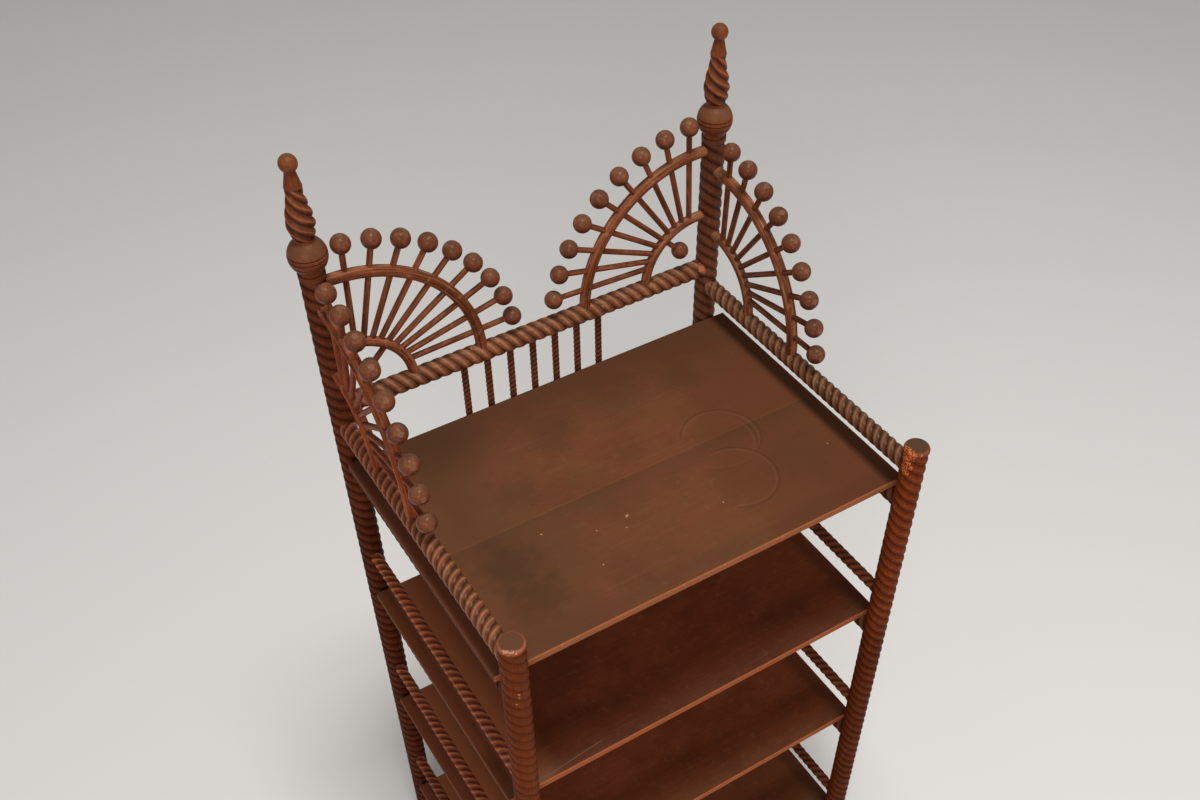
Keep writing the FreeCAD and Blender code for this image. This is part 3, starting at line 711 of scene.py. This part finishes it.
# Painted shade toward the top's rear, below the back rail.
TOP_REAR_SHADE = shade(80, 51, 34)
# Painted light on the left side of the lower shelves.
SHELF_LEFT_LIGHT = shade(146, 76, 46)

# Parts of a shelf with painted light and shade: their tones, and where these come in and are full, as X or
# as the depth behind the front edge. The strip is what lies outside the left side's rails.
TOP_FRONT_TONE = (0.89, 0.89, 0.98)
TOP_FRONT_DEPTH = (0.030, 0.010)
TOP_LEFT_TONE = (1.19, 1.14, 1.16)
TOP_LEFT_X = (-0.145, -0.165)
TOP_STRIP_TONE = (1.12, 0.85, 0.86)
SHELF_STRIP_TONE = (0.76, 0.64, 0.62)
STRIP_X = (-0.186, -0.190)
SHELF_LEFT_X = (-0.14, -0.17)
SHELF_LEFT_STRENGTH = 0.8
SHELF_FRONT_TONE = (0.71, 0.93, 1.03)
SHELF_DEEP_TONE = (1.14, 1.44, 1.66)
SHELF_DEEP_DEPTH = (0.036, 0.062)
SHELF_DEEP_STRAY = 0.02
SHELF_STRAY_SCALE = 25.0
SHELF_LIP_TONE = (0.99, 1.30, 1.50)
SHELF_LIP_DEPTH = (0.024, 0.004)
# Painted shade along a shelf's sides under the side rails, measured from the side edge, and stretches of
# bare wood on the edges.
RAIL_SHADE_RANGE = (-0.022, -0.012)
RAIL_SHADE_STRENGTH = 0.45
BARE_SCALES = (60.0, 60.0, 400.0)
BARE_STRETCHES = (0.55, 1.0)
SIDE_EDGE_STRENGTH = 0.8

# The top's uneven colour: scales of its noises in features to a metre, and where its middle gives way to its
# sides (measured from the middle) and to the painted shade at its rear (as Y), with how far those limits
# stray.
CLOUD_SCALE = 9.0
RED_SCALE = 26.0
OLIVE_SCALE = 20.0
WISP_SCALE = 60.0
RED_SHIFT = (1.7, 0.4, 0.0)
OLIVE_SHIFT = (0.3, 2.9, 0.0)
PATCHES = (0.45, 0.7)
PATCH_STRENGTH = 0.4
TOP_SIDES_OUT = (0.06, 0.12)
TOP_SIDES_STRAY = 0.16
TOP_SIDES_STRENGTH = 0.7
TOP_REAR_Y = (0.050, 0.135)
TOP_REAR_STRAY = 0.05
TOP_REAR_STRENGTH = 0.75
TOP_MIDDLE_BLUR = 0.02
# Dark clouds on the top: (x, y, radius, strength), full within a share of the radius.
CLOUDS = (
    (-0.136, -0.046, 0.040, 0.6), (-0.132, -0.088, 0.032, 0.45), (-0.094, 0.024, 0.030, 0.3),
    (-0.030, 0.070, 0.034, 0.3), (0.040, 0.084, 0.044, 0.25), (0.108, 0.076, 0.030, 0.3),
    (-0.120, 0.108, 0.050, 0.3), (-0.030, -0.022, 0.045, 0.2), (0.140, -0.070, 0.050, 0.2),
    (-0.045, -0.098, 0.042, 0.2),
)
CLOUD_CORE = 0.2

# The line where the top's two boards meet, a shade in front of it, and a pale lip just behind it.
JOINT_Y = -0.0098
JOINT_LINE = 0.0004
JOINT_SHADE_WIDTH = 0.030
JOINT_SHADE_STRENGTH = 0.3
JOINT_LIP_PAST = 0.0008
JOINT_LIP_WIDTH = 0.0010
JOINT_LIP_STRENGTH = 0.08

# Cup rings: (x, y, radius, direction of the part that shows in degrees, how far it reaches each way).
RINGS = (
    (0.0951, -0.0122, 0.0362, 47.0, 108.0),
    (0.0782, -0.0604, 0.0366, -15.0, 112.0),
    (0.0890, -0.0145, 0.0362, -12.0, 40.0),
    (0.0944, 0.0022, 0.0530, -105.0, 22.0),
)
RING_WIDTH = 0.0017
RING_DARK_STRENGTH = 0.34
RING_LIGHT_STRENGTH = 0.06
RING_LIGHT_INSET = 1.5 * RING_WIDTH
# Cosines past that of a ring's reach, over which the ring comes in.
RING_FADE = (-0.12, 0.25)
RING_BREAKS = (0.45, 1.0)
SMUDGE_SCALE = 70.0

# Tiny crumbs: cells to a metre, the random value above which a cell holds one, and its size in cells.
CRUMB_SCALE = 110.0
CRUMB_RARITY = 0.84
CRUMB_SIZE = (0.055, 0.02)
CRUMB_STRENGTH = 0.4
# Larger specks on the top: (x, y, radius), and where its front edge is chipped, as X.
TOP_SPECKS = (
    (-0.0987, -0.0289, 0.0009), (-0.0722, -0.0844, 0.0009), (-0.0273, -0.0487, 0.0016),
    (-0.0344, -0.0600, 0.0008), (-0.0575, -0.0499, 0.0008), (0.1706, -0.0692, 0.0009),
    (0.0504, -0.0792, 0.0009),
)
FRONT_CHIPS = (0.0696, 0.0115, -0.0284, -0.1410)
SPECK_ROUGH_SCALE = 900.0
SPECK_STRENGTH = 0.85

# The scratch on the second shelf, from its left end to its right, and how its two ends fade.
SCRATCH_START = (-0.1676, -0.1331)
SCRATCH_END = (-0.0985, -0.1261)
SCRATCH_WIDTH = 0.0005
SCRATCH_START_FADE = (-0.004, 0.004)
SCRATCH_END_FADE = (0.004, -0.012)
SCRATCH_STRENGTH = 0.3


def shelf_material(name, seed):
    lo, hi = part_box(name)
    is_top = name == "shelf_1"
    edge_colour = TOP_EDGE if is_top else LOWER_EDGE

    def tint(graph, body, look):
        x, y = graph.parts(graph.point)[:2]
        out = graph.absolute(x)
        if is_top:
            smudge = graph.noise(graph.point, SMUDGE_SCALE, 3.0, 0.6)
            body = top_patches_and_rear_shade(graph, body, x, y, out)
            body = board_joint(graph, body, y, smudge)
            body = cup_rings(graph, body, x, y, smudge)
            body = crumbs_and_chips(graph, body, hi.z)
            body = top_tones(graph, body, x, y, lo.y)
        else:
            if name == "shelf_2":
                body = scratch_mark(graph, body, x, y)
            body = lower_shelf_tones(graph, body, x, y, lo.y)
        return shelf_edges(graph, body, out, y, lo.y, edge_colour)

    stain = stain_of(name, "top" if is_top else "shelf")
    return wood(name, stain, lambda graph: grain_point(graph, "X", seed), seed, tint=tint)


def top_patches_and_rear_shade(graph, body, x, y, out):
    """Uneven colour of the top: red and olive patches, other shades at the sides, painted shade toward the
    rear, dark clouds.
    """
    cloud = graph.noise(graph.point, CLOUD_SCALE, 3.0, 0.5)
    red = graph.noise(graph.vector("ADD", graph.point, RED_SHIFT), RED_SCALE, 4.0, 0.6)
    olive = graph.noise(graph.vector("ADD", graph.point, OLIVE_SHIFT), OLIVE_SCALE, 4.0, 0.6)
    body = graph.mix(graph.times(graph.step(red, *PATCHES), PATCH_STRENGTH), body, TOP_RED)
    body = graph.mix(graph.times(graph.step(olive, *PATCHES), PATCH_STRENGTH), body, TOP_OLIVE)
    straying = graph.plus(out, graph.times(graph.minus(cloud, 0.5), TOP_SIDES_STRAY))
    side_colour = graph.mix(graph.step(x, -TOP_MIDDLE_BLUR, TOP_MIDDLE_BLUR), TOP_LEFT, TOP_RIGHT)
    sides = graph.times(graph.step(straying, *TOP_SIDES_OUT), TOP_SIDES_STRENGTH)
    body = graph.mix(sides, body, side_colour)
    wisp = graph.times(graph.minus(graph.noise(graph.point, WISP_SCALE, 4.0, 0.6), 0.5), TOP_REAR_STRAY)
    rear = graph.times(graph.step(graph.plus(y, wisp), *TOP_REAR_Y), TOP_REAR_STRENGTH)
    body = graph.mix(rear, body, TOP_REAR_SHADE)
    flat = graph.joined(x, y, 0.0)
    for cloud_x, cloud_y, size, strength in CLOUDS:
        distance = graph.plus(graph.vector("DISTANCE", flat, (cloud_x, cloud_y, 0.0)), wisp)
        inside = graph.step(distance, size, CLOUD_CORE * size)
        body = graph.mix(graph.times(inside, strength), body, TOP_DARK)
    return body


def board_joint(graph, body, y, smudge):
    past = graph.minus(y, JOINT_Y)
    ahead = graph.times(graph.step(past, JOINT_LINE, -JOINT_LINE), graph.step(past, -JOINT_SHADE_WIDTH, 0.0))
    body = graph.mix(graph.times(ahead, JOINT_SHADE_STRENGTH), body, TOP_DARK)
    lip = graph.step(graph.absolute(graph.minus(past, JOINT_LIP_PAST)), JOINT_LIP_WIDTH, 0.0)
    return graph.mix(graph.times(lip, smudge, JOINT_LIP_STRENGTH), body, CRUMB)


def cup_rings(graph, body, x, y, smudge):
    """Parts of the circles that wet cups left: a dark line with a faint light one inside it."""
    flat = graph.joined(x, y, 0.0)
    broken = graph.between(smudge, *RING_BREAKS)
    for ring_x, ring_y, ring_radius, toward, reach in RINGS:
        offset = graph.vector("SUBTRACT", flat, (ring_x, ring_y, 0.0))
        heading = graph.vector("NORMALIZE", offset)
        facing = (math.cos(math.radians(toward)), math.sin(math.radians(toward)), 0.0)
        limits = counted_from(math.cos(math.radians(reach)), RING_FADE)
        shown = graph.times(graph.step(graph.vector("DOT_PRODUCT", heading, facing), *limits), broken)
        off = graph.minus(graph.vector("LENGTH", offset), ring_radius)
        dark = graph.step(graph.absolute(off), RING_WIDTH, 0.0)
        light = graph.step(graph.absolute(graph.plus(off, RING_LIGHT_INSET)), RING_WIDTH, 0.0)
        body = graph.mix(graph.times(dark, shown, RING_DARK_STRENGTH), body, DARK_STAIN_AND_SHADE)
        body = graph.mix(graph.times(light, shown, RING_LIGHT_STRENGTH), body, CRUMB)
    return body


def crumbs_and_chips(graph, body, surface):
    """Tiny crumbs all over the top, a few larger specks, and chips in its front edge."""
    cells = graph.add("ShaderNodeTexVoronoi", {"Vector": graph.point, "Scale": CRUMB_SCALE}).outputs
    kept = graph.math("GREATER_THAN", graph.parts(cells["Color"])["X"], CRUMB_RARITY)
    tiny = graph.step(cells["Distance"], *CRUMB_SIZE)
    body = graph.mix(graph.times(tiny, kept, CRUMB_STRENGTH), body, CRUMB)
    places = [(px, py, surface, radius) for px, py, radius in TOP_SPECKS]
    places += [(px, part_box("shelf_1")[0].y, surface - EDGE_WIDTH, EDGE_WIDTH) for px in FRONT_CHIPS]
    rough = graph.noise(graph.point, SPECK_ROUGH_SCALE, 2.0, 0.6)
    return graph.mix(graph.times(spot_mask(graph, places, rough), SPECK_STRENGTH), body, CRUMB)


# Painted light and shade on the top: toward its front, to the left, and on the strip outside the left rails.
def top_tones(graph, body, x, y, front):
    body = graph.tinted(graph.step(y, *counted_from(front, TOP_FRONT_DEPTH)), body, TOP_FRONT_TONE)
    body = graph.tinted(graph.step(x, *TOP_LEFT_X), body, TOP_LEFT_TONE)
    return graph.tinted(graph.step(x, *STRIP_X), body, TOP_STRIP_TONE)


def lower_shelf_tones(graph, body, x, y, front):
    """Painted light and shade on a lower shelf: lighter along its left side, darker on its outer strip, and
    other tones from front to rear and along its lip.
    """
    body = graph.mix(graph.times(graph.step(x, *SHELF_LEFT_X), SHELF_LEFT_STRENGTH), body, SHELF_LEFT_LIGHT)
    body = graph.tinted(graph.step(x, *STRIP_X), body, SHELF_STRIP_TONE)
    stray = graph.times(graph.minus(graph.noise(graph.point, SHELF_STRAY_SCALE), 0.5), SHELF_DEEP_STRAY)
    deep = graph.step(graph.plus(y, stray), *counted_from(front, SHELF_DEEP_DEPTH))
    body = graph.vector("MULTIPLY", body, graph.mix(deep, SHELF_FRONT_TONE, SHELF_DEEP_TONE))
    return graph.tinted(graph.step(y, *counted_from(front, SHELF_LIP_DEPTH)), body, SHELF_LIP_TONE)


def shelf_edges(graph, body, out, y, front, edge_colour):
    """Painted shade along the sides under the rails, and bare wood on the side and front edges, more of it
    here than there.
    """
    rail_shade = graph.step(out, *counted_from(SHELF_SIDE_X, RAIL_SHADE_RANGE))
    body = graph.mix(graph.times(rail_shade, RAIL_SHADE_STRENGTH), body, DARK_STAIN_AND_SHADE)
    ragged = graph.noise(graph.vector("MULTIPLY", graph.point, BARE_SCALES), 1.0, 3.0, 0.6)
    shown = graph.between(ragged, *BARE_STRETCHES)
    front_edge = graph.step(y, front + EDGE_WIDTH, front + 0.5 * EDGE_WIDTH)
    side_edges = graph.step(out, SHELF_SIDE_X - EDGE_WIDTH, SHELF_SIDE_X - 0.5 * EDGE_WIDTH)
    body = graph.mix(graph.times(side_edges, shown, SIDE_EDGE_STRENGTH), body, SIDE_EDGE)
    return graph.mix(graph.times(front_edge, shown), body, edge_colour)


def scratch_mark(graph, body, x, y):
    """One long fine scratch near a shelf's front left corner."""
    (x0, y0), (x1, y1) = SCRATCH_START, SCRATCH_END
    slope = (y1 - y0) / (x1 - x0)
    line = graph.plus(graph.times(x, slope), y0 - slope * x0)
    off = graph.absolute(graph.minus(y, line))
    begun = graph.step(x, *counted_from(x0, SCRATCH_START_FADE))
    within = graph.times(begun, graph.step(x, *counted_from(x1, SCRATCH_END_FADE)))
    mark = graph.times(graph.step(off, SCRATCH_WIDTH, 0.0), within, SCRATCH_STRENGTH)
    return graph.mix(mark, body, CRUMB)


# ---- Brads ----
BRAD_STEEL = shade(50, 38, 32)
BRAD_RUST = shade(104, 74, 54)
RUST_SCALE = 900.0
RUST_HILLS = (0.4, 0.65)
RUST_RELIEF = 0.0002
RUST_RELIEF_STRENGTH = 0.4
RUST_ROUGHNESS = (0.45, 0.75)
BRAD_METALLIC = 0.6


def brad_material(name):
    graph = Graph(name)
    rust = graph.noise(graph.point, RUST_SCALE, 3.0, 0.6)
    colour = graph.mix(graph.step(rust, *RUST_HILLS), BRAD_STEEL, BRAD_RUST)
    normal = graph.bump(rust, RUST_RELIEF, RUST_RELIEF_STRENGTH)
    roughness = graph.between(rust, *RUST_ROUGHNESS)
    inputs = {"Base Color": colour, "Roughness": roughness, "Normal": normal}
    return graph.finish(inputs, {"Metallic": BRAD_METALLIC})


# ---- Nodes ----
FIRST_SEED = 1.0
SEED_STEP = 0.618
POST_GROOVE = 0.0011
# The other rope-turned rods, by what their nodes' names hold: (family, axis, depth of the turning).
RODS = {
    "back_spindle": ("spindle", "Z", 0.0006),
    "back_gallery_rail": ("back_rail", "X", 0.0011),
    "back_lower_rail": ("back_rail", "X", 0.0011),
    "side_gallery_rail": ("side_rail", "Y", 0.0012),
    "support_rail": ("support_rail", "Y", 0.0011),
    "guard_rail_left": ("guard_rail_left", "Y", 0.0009),
    "guard_rail_right": ("guard_rail_right", "Y", 0.0009),
}


def finial_material(name, seed):
    grain = lambda graph: grain_point(graph, "Z", seed)
    return wood(name, stain_of(name, "finial"), grain, seed, crest=spire_crest(name), tint=finial_tint(name))


def arc_material(name, seed):
    family = "inner_arc" if name.endswith("inner_arc") else "outer_arc"
    if name.startswith("side_fan_left"):
        family = "left_" + family
    return wood(name, stain_of(name, family), fan_grain(name, seed, bent=True), seed)


def spoke_material(name, seed):
    grain = fan_grain(name, seed, bent=False)
    return wood(name, stain_of(name, "spoke"), grain, seed, tint=spoke_end_tint(name))


def ball_material(name, seed):
    return wood(name, stain_of(name, "ball"), fan_grain(name, seed, bent=False), seed)


def material_for(name, seed):
    """Each CAD node has a material of its own, so that no two pieces are stained alike."""
    for part, (family, axis, groove) in RODS.items():
        if part in name:
            return straight_rod(name, family, axis, groove, seed)
    if "_post_" in name:
        return straight_rod(name, name, "Z", POST_GROOVE, seed, extra=POST_BAND_EXTRA)
    if name.startswith("finial"):
        return finial_material(name, seed)
    if name.endswith("_arc"):
        return arc_material(name, seed)
    if name.endswith("_spokes"):
        return spoke_material(name, seed)
    if name.endswith(("_balls", "_pendant_ball")):
        return ball_material(name, seed)
    if name.endswith("_brads"):
        return brad_material(name)
    return shelf_material(name, seed)


def dress_nodes():
    """Gives every node its material, with a seed of its own for the noises."""
    for number, name in enumerate(sorted(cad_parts)):
        material = material_for(name, FIRST_SEED + SEED_STEP * number)
        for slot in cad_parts[name].material_slots:
            slot.link = "OBJECT"
            slot.material = material


# ---- Studio ----
FLOOR_SIZE = 30.0
FLOOR_COLOUR = (0.88, 0.86, 0.83)
FLOOR_CLOUD = tuple(0.98 * value for value in FLOOR_COLOUR)
FLOOR_CLOUD_SCALE = 3.0
FLOOR_GLOSS = {"Roughness": 0.9, "Specular IOR Level": 0.1}
WORLD_COLOUR = (0.80, 0.79, 0.77)
WORLD_STRENGTH = 0.32
AIM = (0.0, 0.0, 0.6)
# Area lights: (name, place, width, power in watts).
SOFTBOXES = (
    ("overhead", (-0.05, -0.50, 3.2), 0.7, 46.0),
    ("front left", (-1.4, -1.9, 1.9), 1.0, 26.0),
    ("front right", (1.9, -1.5, 1.4), 1.6, 8.0),
)


def add_floor():
    mesh = bpy.data.meshes.new("floor")
    half = FLOOR_SIZE / 2
    corners = [(-half, -half, 0), (half, -half, 0), (half, half, 0), (-half, half, 0)]
    mesh.from_pydata(corners, [], [(0, 1, 2, 3)])
    floor = bpy.data.objects.new("floor", mesh)
    bpy.context.collection.objects.link(floor)
    graph = Graph("floor")
    cloud = graph.noise(graph.point, FLOOR_CLOUD_SCALE, 2.0, 0.5)
    colour = graph.mix(cloud, FLOOR_COLOUR, FLOOR_CLOUD)
    mesh.materials.append(graph.finish({"Base Color": colour}, FLOOR_GLOSS))


def add_softbox(name, place, width, power):
    """Square area light that looks at the object."""
    data = bpy.data.lights.new(name, "AREA")
    data.shape = "SQUARE"
    data.size = width
    data.energy = power
    light = bpy.data.objects.new(name, data)
    light.location = place
    light.rotation_mode = "QUATERNION"
    light.rotation_quaternion = (Vector(AIM) - Vector(place)).to_track_quat("-Z", "Y")
    bpy.context.collection.objects.link(light)


def add_world():
    world = bpy.data.worlds.new("studio")
    world.use_nodes = True
    background = world.node_tree.nodes["Background"]
    background.inputs["Color"].default_value = (*WORLD_COLOUR, 1.0)
    background.inputs["Strength"].default_value = WORLD_STRENGTH
    bpy.context.scene.world = world


def add_camera():
    level = math.cos(CAMERA_ELEVATION)
    back = Vector((
        math.sin(CAMERA_AZIMUTH) * level, -math.cos(CAMERA_AZIMUTH) * level, math.sin(CAMERA_ELEVATION),
    ))
    level_right = Vector((0, 0, 1)).cross(back).normalized()
    level_up = back.cross(level_right)
    right = level_right * math.cos(CAMERA_ROLL) + level_up * math.sin(CAMERA_ROLL)
    up = back.cross(right)
    turn = Matrix((right, up, back)).transposed()
    data = bpy.data.cameras.new("camera")
    data.sensor_width = SENSOR_WIDTH
    data.lens = FOCAL_LENGTH
    data.shift_x, data.shift_y = CAMERA_SHIFT
    camera = bpy.data.objects.new("camera", data)
    camera.matrix_world = Matrix.Translation(CAMERA_PLACE) @ turn.to_4x4()
    bpy.context.collection.objects.link(camera)
    bpy.context.scene.camera = camera


dress_nodes()
add_floor()
add_world()
for softbox in SOFTBOXES:
    add_softbox(*softbox)
add_camera()
bpy.context.scene.view_settings.view_transform = "Standard"
